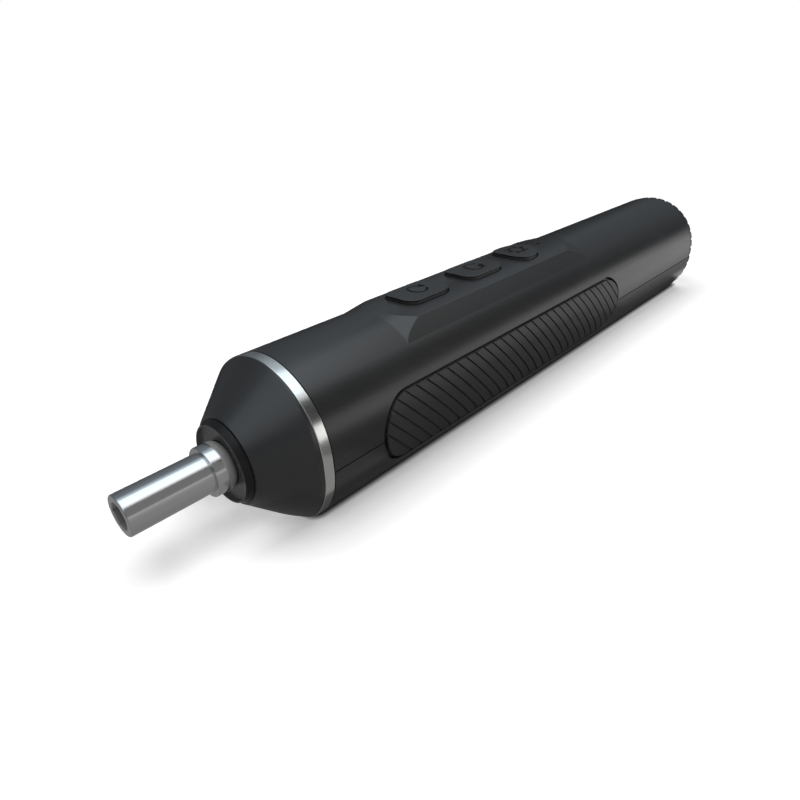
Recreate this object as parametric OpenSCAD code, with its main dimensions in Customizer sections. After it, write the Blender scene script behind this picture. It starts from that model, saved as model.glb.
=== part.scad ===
// Stick electric screwdriver with a hexagon bit socket, a two-stage planetary
// gearbox, a brushed motor, two cells and three keys on a flattened top.
// X runs along the tool from the bit socket (-X) to the end cap (+X) and +Z is
// up. Shapes are drawn round the tool axis, with X = 0 at the front face of the
// trim ring. Each finished piece is then moved so that the origin lies on the
// floor under the middle of the resting tool.

/* [Body] */
// Radius of the body's round section
body_r = 23; // [21.5:0.1:26]
// Height of the upper arc's centre above the tool axis
arc_up = 1.25; // [0.5:0.05:2]
// Depth of the lower arc's centre below the tool axis
low_drop = 1.8; // [1:0.05:2.6]
// Depth of the flat underside below the tool axis
foot_drop = 19.2; // [18.6:0.1:20.4]
// Radius of the two long edges of the underside
foot_fillet = 5; // [4.6:0.1:6.5]
// Wall of the two shells
shell_wall = 2.4; // [2:0.1:2.8]
// Rear end of the shells behind the front of the trim ring
body_len = 240; // [238:0.5:260]
// Depth of the seam between the shells below the tool axis
split_drop = 2.2; // [1.8:0.1:3]
// Height of the dark line at the seam
split_gap = 0.35; // [0.2:0.05:0.6]
// Depth of the dark line at the seam
split_deep = 0.8; // [0.4:0.1:1.2]
// Seam between the body and the pieces at its ends
end_seam = 0.15; // [0.1:0.05:0.3]
// Play between a spigot and the shells
spigot_gap = 0.05; // [0.03:0.01:0.15]

/* [Nose and trim ring] */
// Width of the steel trim ring
ring_w = 3.2; // [2.4:0.1:4.5]
// Length of the nose cone ahead of the trim ring
nose_len = 13.3; // [12.5:0.1:15]
// Radius of the nose cone at its small end
nose_tip_r = 12.7; // [12.4:0.1:14]
// Straight band of the nose cone beside the trim ring, at the cone's sides
nose_band = 1.7; // [1:0.1:2.5]
// How much the nose cone lies inside the trim ring's outline
nose_inset = 0.15; // [0.1:0.05:0.4]
// Length of the nose cone's spigot inside the shells
spigot_len = 8; // [7:0.5:10]
// Radius of the space behind the bushing
nose_cavity_r = 13; // [11:0.5:13.5]
// Radius of the bezel's flange
bezel_r = 12.1; // [11.8:0.1:12.3]
// How far the bezel stands out of the nose cone
bezel_out = 2; // [1.5:0.1:3]
// Radius of the bezel's seat in the nose cone
bezel_seat_r = 11.2; // [10.8:0.1:11.4]
// Depth of the bezel's seat in the nose cone
bezel_deep = 3.8; // [3.2:0.1:4.5]
// Radius of the bezel's recess at its mouth
recess_r = 10.7; // [10.3:0.1:11]
// Radius of the bezel's recess at its floor
recess_floor_r = 10.4; // [9.8:0.1:10.6]
// Width of the bezel's rim
rim_w = 0.4; // [0.3:0.05:0.6]
// Depth of the bezel's recess
recess_deep = 1.1; // [0.9:0.1:1.4]
// Outer radius of the front bushing
bushing_r = 8.5; // [7.5:0.1:9.5]
// Length of the front bushing
bushing_len = 7.1; // [6:0.1:8]

/* [Bit socket and spindle] */
// Outer diameter of the socket tube
tube_d = 11; // [10.4:0.1:12]
// Length of the socket tube ahead of the collar
tube_len = 21.8; // [20:0.1:26]
// Diameter of the collar
collar_d = 13.8; // [13:0.1:15]
// Length of the collar
collar_len = 6.7; // [6.2:0.1:7]
// How far the collar stands out of the bezel
collar_out = 4.8; // [4.6:0.1:5.5]
// Radius of the collar's rear edge
collar_round = 3; // [2.6:0.1:3.2]
// Bevel at the tip of the tube and at the collar's front
tip_bevel = 0.3; // [0.2:0.1:0.7]
// Hexagon of the bit socket across its flats
hex_af = 6.4; // [6.35:0.05:6.6]
// Depth of the hexagon
hex_deep = 14; // [12:0.5:15]
// Lead-in at the socket's mouth
hex_lead = 0.2; // [0.1:0.1:0.5]
// Diameter of the magnet behind the bit
magnet_d = 5.8; // [5:0.1:6]
// Length of the magnet
magnet_len = 4; // [3:0.5:4.5]
// Distance from the tip to the bit's spring ring
clip_x = 4; // [3:0.5:6]
// Wire diameter of the bit's spring ring
clip_wire = 0.8; // [0.6:0.1:0.9]
// Radius of the spindle in its bushing
journal_r = 5; // [4.8:0.1:5.2]
// Running play of the spindle and the shafts
run_play = 0.05; // [0.03:0.01:0.08]
// Square of the spindle across its flats
square_af = 6.8; // [6.4:0.1:7]
// Thickness of the spindle's circlip
circlip_t = 1; // [0.8:0.1:1.2]
// Outer radius of the spindle's circlip
circlip_r = 7.2; // [6.5:0.1:8]

/* [Gearbox] */
// Module of all gear teeth
gear_m = 0.6; // [0.58:0.01:0.62]
// Play between tooth flanks at the pitch circle
backlash = 0.1; // [0.08:0.01:0.14]
// Wall round the ring gear's teeth
gearbox_wall = 2.25; // [1.9:0.05:2.4]
// Thickness of a planet carrier
carrier_t = 3.2; // [3:0.1:4]
// Width of the planet gears
planet_w = 7; // [6.5:0.1:8]
// Radius of the planet pins
pin_r = 1.5; // [1.3:0.1:1.7]
// Side play beside the gears and carriers
side_play = 0.6; // [0.5:0.05:0.9]
// Radius of the four gearbox lugs
lug_r = 2.6; // [2.4:0.1:2.8]
// Sideways distance of the lugs from the tool axis
lug_y = 15.7; // [15.5:0.1:16]
// Height of the lugs above and below the tool axis
lug_z = 7.3; // [6.8:0.1:7.6]
// Shaft radius of the gearbox screws
gear_screw_r = 1.25; // [1.1:0.05:1.4]
// Thickness of the motor plate
plate_t = 2.5; // [2.2:0.1:3]

/* [Motor] */
// Diameter of the motor can
motor_d = 27.6; // [26.6:0.1:28.2]
// Length of the motor can
motor_len = 38; // [36:0.5:40]
// Wall of the motor can
can_wall = 1; // [0.8:0.1:1.2]
// Radius of the motor shaft
shaft_r = 1.15; // [1:0.05:1.25]
// Radius of the armature
armature_r = 10; // [9:0.1:10.2]
// Thickness of the motor's magnets
magnet_t = 2.2; // [2:0.1:2.3]
// Sideways distance of the motor screws from the axis
motor_screw_y = 8; // [7.5:0.1:8.5]

/* [Battery] */
// Diameter of a cell
cell_d = 18.4; // [18:0.1:18.5]
// Length of a cell
cell_len = 65; // [64:0.5:66]
// Front end of the cells
cell_x = 90; // [90:0.5:92]
// Height of the cells' axes against the tool axis
cell_z = -1; // [-1.4:0.1:0]
// Space between the two cells
cell_gap = 0.2; // [0.1:0.05:0.4]
// Wall of the battery cradle
cradle_t = 2; // [1.6:0.1:2.2]
// Thickness of the metal strips on the cells
strip_t = 0.3; // [0.2:0.05:0.4]

/* [Control area and keys] */
// Front end of the control area
pad_x0 = 40; // [38:0.5:42]
// Rear end of the control area
pad_x1 = 146; // [144:0.5:150]
// Length of the ramps at both ends of the control area
pad_ramp = 10; // [8:0.5:12]
// Half the width of the control area
pad_half = 11.3; // [10.8:0.1:11.8]
// Height of the control area's middle above the body's top
pad_rise = 0.07; // [0.05:0.01:0.3]
// Radius of the control area's crown
crown_r = 38.4; // [36:0.2:45]
// Front end of the forward key's opening
forward_x = 51.3; // [50.8:0.1:52.5]
// Front end of the reverse key's opening
reverse_x = 80.6; // [80.2:0.1:81.6]
// Length of the openings of the two turning keys
key_len = 21.6; // [20.6:0.2:22]
// Width of the openings of the two turning keys
key_w = 14; // [13:0.1:14.4]
// Corner radius of these openings
key_corner = 5.2; // [4.5:0.1:5.8]
// Front end of the mode key's opening
mode_x = 109.6; // [109.2:0.1:110.4]
// Length of the mode key's opening
mode_len = 16.8; // [16.8:0.1:17.4]
// Width of the mode key's opening
mode_w = 16.6; // [16:0.1:16.7]
// Front corner radius of the mode key's opening
mode_corner = 7; // [6:0.1:7.6]
// Play round each key
key_play = 0.35; // [0.25:0.05:0.45]
// How far the keys stand out of the control area
key_rise = 1.2; // [0.9:0.1:1.3]
// Depth of the roof over the key flanges below the body's top
roof_drop = 2.25; // [2.15:0.05:2.45]
// Thickness of the key flanges
key_flange = 0.9; // [0.8:0.05:1]
// Width of the key flanges beyond the keys
key_lip = 0.9; // [0.7:0.1:1]
// Outer radius of the turning arrows on the keys
sign_r = 3.6; // [3:0.1:3.8]
// Width of the lines in the signs
sign_line = 0.9; // [0.6:0.1:1.1]
// Depth of the signs on the keys
sign_deep = 0.3; // [0.2:0.05:0.4]
// Centre of the indicator
lamp_x = 133.4; // [132.8:0.1:135]
// Radius of the indicator's lens
lamp_r = 0.9; // [0.8:0.05:1.2]

/* [Grips] */
// Front end of the grip inlays
grip_x0 = 21.3; // [20:0.1:23]
// Rear end of the grip inlays
grip_x1 = 162.2; // [158:0.1:164]
// Depth of the middle of the grip inlays below the tool axis
grip_drop = 1.75; // [1.5:0.05:2.2]
// Half the height of the grip inlays
grip_half = 11.7; // [10.5:0.1:12]
// Depth of the grip pockets
grip_deep = 1.2; // [1:0.05:1.3]
// How far the grips stand out of the shells
grip_proud = 0.3; // [0.2:0.05:0.5]
// Dark gap round the grips
grip_gap = 1.1; // [0.6:0.05:1.3]
// Slant of the grooves against the vertical
groove_slant = 45; // [30:1:50]
// Distance between the grooves along the tool
groove_pitch = 4.6; // [4:0.1:6]
// Distance of the first groove from the front end of the inlay
groove_first = 2.4; // [2:0.1:3]
// Width of the grooves
groove_w = 0.5; // [0.4:0.05:0.9]
// Depth of the grooves
groove_deep = 0.55; // [0.4:0.05:0.8]

/* [Boards and end cap] */
// Thickness of the circuit boards
board_t = 1.6; // [1.4:0.1:1.8]
// Depth of the control board's underside below the body's top
board_drop = 7.45; // [7.35:0.05:7.65]
// Half the width of the control board
board_half = 9.5; // [9:0.1:9.7]
// Height of the key switches' bodies
switch_h = 1.8; // [1.7:0.05:1.9]
// Radius of the key switches' plungers
plunger_r = 1.1; // [1:0.05:1.3]
// Length of the plunger inside its switch at rest
plunger_in = 0.9; // [0.8:0.05:1]
// Length of the end cap behind the shells
cap_len = 4.85; // [4:0.05:5.5]
// Wall of the end cap's spigot
cap_wall = 2; // [1.6:0.1:2.2]
// How much the end cap lies inside the body's outline
cap_inset = 0.25; // [0.15:0.05:0.5]
// Width of the slope round the end cap's rear edge
cap_slope = 1; // [0.6:0.1:1.4]
// Length of the slope round the end cap's rear edge
cap_slope_len = 1.6; // [1.2:0.1:2]
// Number of notches on a full turn of the end cap
notches = 36; // [30:1:40]
// Width of a notch
notch_w = 1.2; // [1:0.1:1.6]
// Depth of a notch
notch_deep = 0.8; // [0.6:0.1:1.2]
// Underside of the charging board below the tool axis
charge_drop = 4.6; // [4.4:0.1:5]
// Front end of the charging board
charge_x = 166; // [165.5:0.5:170]
// Width of the charging socket
port_w = 8.94; // [8.9:0.01:9]
// Height of the charging socket
port_h = 3.16; // [3.1:0.01:3.26]
// Length of the charging socket
port_len = 7.35; // [7.2:0.05:7.5]

/* [Case screws] */
// Sideways distance of the case screws
screw_y = 14.2; // [14:0.05:14.4]
// Shaft radius of the case screws
screw_r = 1.5; // [1.3:0.05:1.6]
// Head radius of the case screws
head_r = 2.8; // [2.6:0.1:3]
// Height of the case screws' heads
head_h = 2; // [1.8:0.1:2.2]
// Depth of the pockets of the screw heads below the shell
head_deep = 4; // [3.6:0.1:4.2]
// Radius of the screw bosses
boss_r = 3; // [2.8:0.1:3.1]
// Length of the screw thread in the upper shell
screw_grip = 9; // [7:0.5:11]

/* [Hidden] */
$fn = 72;

// a small amount by which cuts run past a face
past = 1;
// what a face lies inside the body's surface so that both join cleanly
tuck = 0.05;

// how far the rounding of the long edges runs past the faces that it joins
edge_over = 0.01;

// body
tube_r = tube_d / 2;
collar_r = collar_d / 2;
foot_half = sqrt(pow(body_r - foot_fillet, 2) - pow(foot_drop - low_drop - foot_fillet, 2));
shell_x0 = ring_w + end_seam;
cap_x0 = body_len + end_seam;
cap_x1 = cap_x0 + cap_len;
top_z = arc_up + body_r + pad_rise;
spigot_inset = shell_wall + spigot_gap;

// nose and spindle
rim_x = -nose_len - bezel_out;
nose_rise = (body_r - nose_inset - nose_tip_r) / (nose_len - nose_band);
seat_x = -nose_len + bezel_deep;
recess_x = rim_x + recess_deep;
bushing_x1 = seat_x + bushing_len;
collar_x0 = rim_x - collar_out;
collar_x1 = collar_x0 + collar_len;
tip_x = collar_x0 - tube_len;
hex_r = hex_af / 2 / cos(30);
magnet_r = magnet_d / 2;
circlip_x = bushing_x1 + 0.15;
journal_x1 = spigot_len + 0.5;
floor_hole_r = journal_r + 0.6;
collar_hole_r = collar_r - 0.2;
collar_hole_x1 = collar_x1 + 0.6;

// gearbox along X
sun_teeth = 12;
planet_teeth = 15;
ring_teeth = sun_teeth + 2 * planet_teeth;
press_angle = 20;
tooth_add = 0.9;
tooth_ded = 1.15;
orbit_r = gear_m * (sun_teeth + planet_teeth) / 2;
sun_tip_r = gear_m * (sun_teeth / 2 + tooth_add);
ring_tip_r = gear_m * (ring_teeth / 2 - tooth_add * 0.9);
ring_root_r = gear_m * (ring_teeth / 2 + tooth_ded + 0.1);
gearbox_r = ring_root_r + gearbox_wall;
carrier_r = ring_tip_r - 0.4;
box_x0 = spigot_len;
out_x0 = box_x0 + 2;
out_x1 = out_x0 + carrier_t + 0.8;
outp_x0 = out_x1 + side_play;
outp_x1 = outp_x0 + planet_w;
in_x0 = outp_x1 + side_play + 0.2;
in_x1 = in_x0 + carrier_t;
inp_x0 = in_x1 + side_play;
inp_x1 = inp_x0 + planet_w;
box_x1 = inp_x1 + side_play + 1;
plate_x1 = box_x1 + plate_t;

// motor along X
motor_r = motor_d / 2;
can_in_r = motor_r - can_wall;
can_x0 = plate_x1;
can_x1 = can_x0 + motor_len;
nose_boss_r = 4.9;
endcap_t = 3;
endcap_x1 = can_x1 + endcap_t;
terminal_len = 3.6;

// battery
cell_r = cell_d / 2;
cell_y = cell_r + cell_gap / 2;
cell_x1 = cell_x + cell_len;
cradle_y = 16;
cradle_z0 = cell_z - cell_r - cradle_t;
cradle_z1 = cell_z + 6;
strap_over = 4;
strap_half = 3;

// control area and keys
flank_p = [pad_half, top_z - crown_r + sqrt(crown_r * crown_r - pad_half * pad_half) - arc_up];
flank_d = norm(flank_p);
flank_r = body_r - tuck;
flank_a = atan2(flank_p[1], flank_p[0]) - acos(flank_r / flank_d);
flank_top = body_r + 6;
board_z = arc_up + body_r - board_drop;
board_top = board_z + board_t;
switch_top = board_top + switch_h;
key_roof = arc_up + body_r - roof_drop;
key_top = key_roof - tuck;
key_under = key_top - key_flange;
forward_c = forward_x + key_len / 2;
reverse_c = reverse_x + key_len / 2;
mode_c = mode_x + mode_len / 2;
pocket_side = 0.5;
board_x0 = forward_x - 5.5;
board_x1 = 148;
post_y = 7.2;
post_r = 2;
board_screw_r = 0.8;
post_x = [forward_x - 3.5, lamp_x + 8];
switch_half = 3;
chip_t = 1.6;
chip_x = 63;
chip_len = 10;
chip_half = 4;
driver_x = 100;
driver_len = 7;
driver_half = 3.5;
store_x = 120;
store_h = 5;
store_r = 3.2;
small_head_r = 1.6;

// grips
grip_z = -grip_drop;
groove_x0 = grip_x0 + groove_first;
groove_n = floor((grip_x1 - groove_x0) / groove_pitch);

// rear
port_x1 = cap_x1 - 0.6;
port_x0 = port_x1 - port_len;
charge_x1 = body_len - 0.3;
charge_top = -charge_drop + board_t;
port_z = charge_top + port_h / 2;
port_play = 0.3;
charge_half = 10.5;
charge_post_x = [charge_x + 5, body_len - 22];
charge_post_y = 7.5;
charge_thread = 5;

// case screws
screw_x = [endcap_x1 + terminal_len + 0.6, cell_x1 + cradle_t + strip_t + boss_r + 1, body_len - 14];
head_z0 = -foot_drop + head_deep;
pocket_r = head_r + 0.25;
pocket_side_r = pocket_r + 1.15;
pocket_roof = 1.8;
wire_r = 0.8;
wire_y = 4;
lead_z = 12;
rib_t = 2;

// turns an outline in Y and Z into a bar from x0 to x1
module span(x0, x1) {
    translate([x0, 0, 0]) rotate([90, 0, 90]) linear_extrude(height = x1 - x0) children();
}

// moves a piece from the tool axis into the frame of the resting tool
module on_floor() {
    translate([-(tip_x + cap_x1) / 2, 0, foot_drop]) children();
}

module rod(x0, x1, r) {
    translate([x0, 0, 0]) rotate([0, 90, 0]) cylinder(h = x1 - x0, r = r);
}

module taper(x0, x1, r0, r1) {
    translate([x0, 0, 0]) rotate([0, 90, 0]) cylinder(h = x1 - x0, r1 = r0, r2 = r1);
}

module post(x, y, z0, z1, r) {
    translate([x, y, z0]) cylinder(h = z1 - z0, r = r);
}

module block(x0, x1, y0, y1, z0, z1) {
    translate([x0, y0, z0]) cube([x1 - x0, y1 - y0, z1 - z0]);
}

// the body's section: two arcs, straight flanks and a flat underside
module body_section(inset = 0) {
    r = body_r - inset;
    fy = 2 * foot_half;
    fz = -low_drop - 2 * (foot_drop - foot_fillet - low_drop);
    intersection() {
        union() {
            translate([0, arc_up]) circle(r);
            translate([0, -low_drop]) circle(r);
            translate([-r, -low_drop]) square([2 * r, arc_up + low_drop]);
        }
        translate([-2 * body_r, inset - foot_drop]) square(4 * body_r);
        union() {
            polygon([[0, -low_drop], [fy, fz], [fy, 2 * body_r], [-fy, 2 * body_r], [-fy, fz]]);
            translate([-foot_half, -2 * body_r]) square([2 * foot_half, 2 * body_r - low_drop]);
            for (s = [-1, 1]) translate([s * foot_half, foot_fillet - foot_drop])
                circle(foot_fillet - inset + edge_over);
        }
    }
}

// section of the control area: crowned top and flat flanks that run into the body
module pad_section() {
    c = cos(flank_a);
    s = sin(flank_a);
    yt = (flank_r - (flank_top - arc_up) * s) / c;
    intersection() {
        translate([0, top_z - crown_r]) circle(crown_r, $fn = 180);
        polygon([[-flank_r * c, 0], [-flank_r * c, arc_up + flank_r * s], [-yt, flank_top],
            [yt, flank_top], [flank_r * c, arc_up + flank_r * s], [flank_r * c, 0]]);
    }
}

module control_pad() {
    intersection() {
        span(pad_x0, pad_x1) pad_section();
        translate([0, 0, arc_up]) union() {
            taper(pad_x0, pad_x0 + pad_ramp, flank_r, flank_d + tuck);
            rod(pad_x0 + pad_ramp, pad_x1 - pad_ramp, flank_d + tuck);
            taper(pad_x1 - pad_ramp, pad_x1, flank_d + tuck, flank_r);
        }
    }
}

module above_seam() {
    block(-past, body_len + 2 * past, -2 * body_r, 2 * body_r, -split_drop, 2 * body_r);
}

module below_seam() {
    block(-past, body_len + 2 * past, -2 * body_r, 2 * body_r, -2 * body_r, -split_drop);
}

// rounded rectangle from x = 0 to len, centred on y = 0
module round_bar(len, w, r) {
    translate([r, -w / 2]) square([len - 2 * r, w]);
    translate([0, r - w / 2]) square([len, w - 2 * r]);
    for (x = [r, len - r], y = [r - w / 2, w / 2 - r]) translate([x, y]) circle(r);
}

module turn_outline(inset = 0) {
    translate([inset, 0]) round_bar(key_len - 2 * inset, key_w - 2 * inset, key_corner - inset);
}

// the mode key: straight at the front, half a circle at the rear
module mode_outline(inset = 0) {
    w = mode_w - 2 * inset;
    r = mode_corner - inset;
    xc = mode_len - mode_w / 2;
    translate([xc, 0]) circle(w / 2);
    translate([inset + r, -w / 2]) square([xc - inset - r, w]);
    translate([inset, r - w / 2]) square([xc - inset, w - 2 * r]);
    for (y = [r - w / 2, w / 2 - r]) translate([inset + r, y]) circle(r);
}

// outline of a grip in X and Z
module grip_outline(inset = 0) {
    r = grip_half - inset;
    x0 = grip_x0 + grip_half;
    x1 = grip_x1 - grip_half;
    translate([x0, grip_z]) circle(r);
    translate([x1, grip_z]) circle(r);
    translate([x0, grip_z - r]) square([x1 - x0, 2 * r]);
}

module grip_block(side, inset = 0) {
    translate([0, side > 0 ? 2 * body_r : 0, 0])
        rotate([90, 0, 0]) linear_extrude(height = 2 * body_r) grip_outline(inset);
}

module grip_pockets() {
    difference() {
        union() {
            grip_block(-1);
            grip_block(1);
        }
        span(0, body_len) body_section(grip_deep);
    }
}

// half angle of a gear tooth at radius r, in degrees
function involute(a) = tan(a) * 180 / PI - a;
function tooth_half(z, m, bl, r) = 90 / z - bl / (z * m) * 180 / PI + involute(press_angle)
    - involute(acos(min(1, z * m / 2 * cos(press_angle) / r)));
function tooth_radii(r0, r1) = [for (i = [0 : 3]) r0 + (r1 - r0) * i / 3];
function on_circle(r, a) = [r * cos(a), r * sin(a)];

// gear outline with a tooth at angle 0
module gear_outline(z, m, add, ded, bl) {
    rb = z * m / 2 * cos(press_angle);
    rf = z * m / 2 - ded;
    up = tooth_radii(max(rb, rf), z * m / 2 + add);
    down = [for (i = [0 : 3]) up[3 - i]];
    foot = rf < rb ? [rf] : [];
    polygon([for (t = [0 : z - 1]) for (p = concat(
        [for (r = foot) on_circle(r, 360 * t / z - tooth_half(z, m, bl, rb))],
        [for (r = up) on_circle(r, 360 * t / z - tooth_half(z, m, bl, r))],
        [for (r = down) on_circle(r, 360 * t / z + tooth_half(z, m, bl, r))],
        [for (r = foot) on_circle(r, 360 * t / z + tooth_half(z, m, bl, rb))])) p]);
}

module planet(x0, x1, turn) {
    rotate([turn, 0, 0]) translate([0, orbit_r, 0]) difference() {
        span(x0, x1)
            gear_outline(planet_teeth, gear_m, gear_m * tooth_add, gear_m * tooth_ded, backlash);
        rod(x0 - past, x1 + past, pin_r + run_play);
    }
}

module sun_outline() {
    gear_outline(sun_teeth, gear_m, gear_m * tooth_add, gear_m * tooth_ded, backlash);
}

module pins(x0, x1, r) {
    for (a = [0, 120, 240]) rotate([a, 0, 0]) translate([0, orbit_r, 0]) rod(x0, x1, r);
}

module lugs(x0, x1, r) {
    for (y = [-lug_y, lug_y], z = [-lug_z, lug_z]) translate([0, y, z]) rod(x0, x1, r);
}

module output_spindle() {
    color([0.72, 0.73, 0.72]) on_floor() difference() {
        union() {
            taper(tip_x, tip_x + tip_bevel, tube_r - tip_bevel, tube_r);
            rod(tip_x + tip_bevel, collar_x0 + past, tube_r);
            taper(collar_x0, collar_x0 + tip_bevel, collar_r - tip_bevel, collar_r);
            rod(collar_x0 + tip_bevel, collar_x1 - collar_round, collar_r);
            rod(collar_x1 - collar_round, collar_x1, collar_r - collar_round);
            translate([collar_x1 - collar_round, 0, 0]) rotate([0, 90, 0])
                rotate_extrude() translate([collar_r - collar_round, 0]) circle(collar_round);
            rod(collar_x1 - past, journal_x1, journal_r);
            block(journal_x1 - past, out_x1, -square_af / 2, square_af / 2,
                -square_af / 2, square_af / 2);
        }
        translate([tip_x - past, 0, 0]) rotate([0, 90, 0]) rotate([0, 0, 30])
            cylinder(h = hex_deep + past, r = hex_r, $fn = 6);
        taper(tip_x - tuck, tip_x + hex_lead, hex_r + tuck, hex_r - hex_lead);
        rod(tip_x + hex_deep - past, tip_x + hex_deep + magnet_len, magnet_r);
        rod(tip_x + clip_x - 0.6, tip_x + clip_x + 0.6, hex_af / 2 + clip_wire + 0.2);
        difference() {
            rod(circlip_x, circlip_x + circlip_t, journal_r + past);
            rod(circlip_x - past, circlip_x + circlip_t + past, journal_r - 0.5);
        }
    }
}

module socket_magnet() {
    color([0.55, 0.55, 0.58]) on_floor()
        rod(tip_x + hex_deep, tip_x + hex_deep + magnet_len, magnet_r);
}

module bit_ring() {
    color([0.6, 0.6, 0.62]) on_floor() difference() {
        translate([tip_x + clip_x, 0, 0]) rotate([0, 90, 0])
            rotate_extrude() translate([hex_af / 2 + clip_wire / 2 + 0.1, 0]) circle(clip_wire / 2);
        block(tip_x, tip_x + 2 * clip_x, -0.6, 0.6, 0, tube_r);
    }
}

module spindle_clip() {
    color([0.3, 0.3, 0.32]) on_floor() difference() {
        rod(circlip_x, circlip_x + circlip_t, circlip_r);
        rod(circlip_x - past, circlip_x + circlip_t + past, journal_r - 0.5);
        block(circlip_x - past, circlip_x + circlip_t + past, -2, 2, -2 * circlip_r, 0);
    }
}

module output_carrier() {
    color([0.55, 0.54, 0.5]) on_floor() difference() {
        rod(out_x0, out_x1, carrier_r);
        block(out_x0 - past, out_x1 + past, -square_af / 2, square_af / 2,
            -square_af / 2, square_af / 2);
        pins(out_x0 - past, out_x1 + past, pin_r);
    }
}

module output_pins() {
    color([0.7, 0.7, 0.72]) on_floor() pins(out_x0, outp_x1, pin_r);
}

module planet_out_a() {
    color([0.62, 0.6, 0.55]) on_floor() planet(outp_x0, outp_x1, 0);
}

module planet_out_b() {
    color([0.62, 0.6, 0.55]) on_floor() planet(outp_x0, outp_x1, 120);
}

module planet_out_c() {
    color([0.62, 0.6, 0.55]) on_floor() planet(outp_x0, outp_x1, 240);
}

// first-stage carrier in one piece with the second stage's sun gear
module inner_carrier() {
    color([0.55, 0.54, 0.5]) on_floor() difference() {
        union() {
            rod(in_x0, in_x1, carrier_r);
            span(outp_x0 + side_play / 2, in_x0 + tuck) sun_outline();
        }
        pins(in_x0 - past, in_x1 + past, pin_r);
    }
}

module inner_pins() {
    color([0.7, 0.7, 0.72]) on_floor() pins(in_x0, inp_x1, pin_r);
}

module planet_in_a() {
    color([0.85, 0.83, 0.75]) on_floor() planet(inp_x0, inp_x1, 0);
}

module planet_in_b() {
    color([0.85, 0.83, 0.75]) on_floor() planet(inp_x0, inp_x1, 120);
}

module planet_in_c() {
    color([0.85, 0.83, 0.75]) on_floor() planet(inp_x0, inp_x1, 240);
}

module motor_pinion() {
    color([0.75, 0.62, 0.3]) on_floor() difference() {
        span(inp_x0, box_x1 - 0.4) sun_outline();
        rod(inp_x0 - past, box_x1 + past, shaft_r);
    }
}

module motor_rotor() {
    color([0.6, 0.35, 0.2]) on_floor() {
        rod(inp_x0, endcap_x1 + 0.8, shaft_r);
        difference() {
            rod(can_x0 + 6, can_x1 - 6, armature_r);
            for (a = [0 : 72 : 288]) rotate([a, 0, 0])
                block(can_x0 + 6 - past, can_x1 - 6 + past, -1, 1, armature_r - 5, armature_r + past);
        }
        rod(can_x1 - 6 - tuck, can_x1 - 2.5, 3.4);
    }
}

// radius of the nose cone's flank at a place x
function cone_r(x) = nose_tip_r + (nose_len + x) * nose_rise;

module nose_cone() {
    color([0.17, 0.17, 0.18]) on_floor() difference() {
        union() {
            intersection() {
                span(-nose_len, 0) body_section(nose_inset);
                taper(-nose_len - past, past, cone_r(-nose_len - past), cone_r(past));
            }
            span(-tuck, spigot_len) body_section(spigot_inset);
        }
        rod(-nose_len - past, seat_x, bezel_seat_r);
        rod(seat_x - past, bushing_x1 + past, bushing_r);
        rod(bushing_x1, spigot_len + past, nose_cavity_r);
        lugs(1, spigot_len + past, gear_screw_r);
    }
}

module nose_bezel() {
    color([0.14, 0.14, 0.15]) on_floor() difference() {
        union() {
            taper(rim_x, -nose_len, recess_r + rim_w, bezel_r);
            rod(-nose_len - tuck, seat_x, bezel_seat_r);
        }
        taper(rim_x - tuck, recess_x, recess_r, recess_floor_r);
        rod(recess_x - past, collar_hole_x1, collar_hole_r);
        rod(recess_x - past, seat_x + past, floor_hole_r);
    }
}

module front_bushing() {
    color([0.7, 0.5, 0.25]) on_floor() difference() {
        rod(seat_x, bushing_x1, bushing_r);
        rod(seat_x - past, bushing_x1 + past, journal_r + run_play);
    }
}

module trim_ring() {
    color([0.75, 0.75, 0.73]) on_floor() span(0, ring_w) difference() {
        body_section();
        body_section(shell_wall);
    }
}

module ring_gear() {
    color([0.25, 0.26, 0.28]) on_floor() difference() {
        union() {
            rod(box_x0, box_x1, gearbox_r);
            lugs(box_x0, box_x1, lug_r);
        }
        rod(box_x0 - past, out_x1 + side_play / 2, carrier_r + 0.4);
        span(out_x1, box_x1 + past) gear_outline(ring_teeth, gear_m,
            gear_m * (tooth_ded + 0.1), gear_m * tooth_add * 0.9, -backlash);
        lugs(box_x0 - past, box_x1 + past, gear_screw_r + 0.1);
    }
}

module motor_plate() {
    color([0.6, 0.6, 0.6]) on_floor() difference() {
        union() {
            rod(box_x1, plate_x1, gearbox_r);
            lugs(box_x1, plate_x1, lug_r);
        }
        rod(box_x1 - past, plate_x1 + past, nose_boss_r);
        lugs(box_x1 - past, plate_x1 + past, gear_screw_r + 0.1);
        for (y = [-motor_screw_y, motor_screw_y]) translate([0, y, 0]) {
            rod(box_x1 - past, plate_x1 + past, gear_screw_r);
            rod(box_x1 - past, box_x1 + 1.2, 2.3);
        }
    }
}

module gearbox_screws() {
    color([0.5, 0.5, 0.52]) on_floor() {
        lugs(1, plate_x1 + tuck, gear_screw_r);
        difference() {
            lugs(plate_x1, plate_x1 + 1.6, 2.2);
            for (y = [-lug_y, lug_y], z = [-lug_z, lug_z]) translate([plate_x1 + 0.6, y, z])
                rotate([0, 90, 0]) cylinder(h = 2, r = 1.15, $fn = 6);
        }
    }
}

module motor_screws() {
    color([0.5, 0.5, 0.52]) on_floor() for (y = [-motor_screw_y, motor_screw_y]) translate([0, y, 0]) {
        rod(box_x1 + 0.1, box_x1 + 1.2, 2.3);
        rod(box_x1 + 1.2 - tuck, can_x0 + can_wall + 1, gear_screw_r);
    }
}

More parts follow.
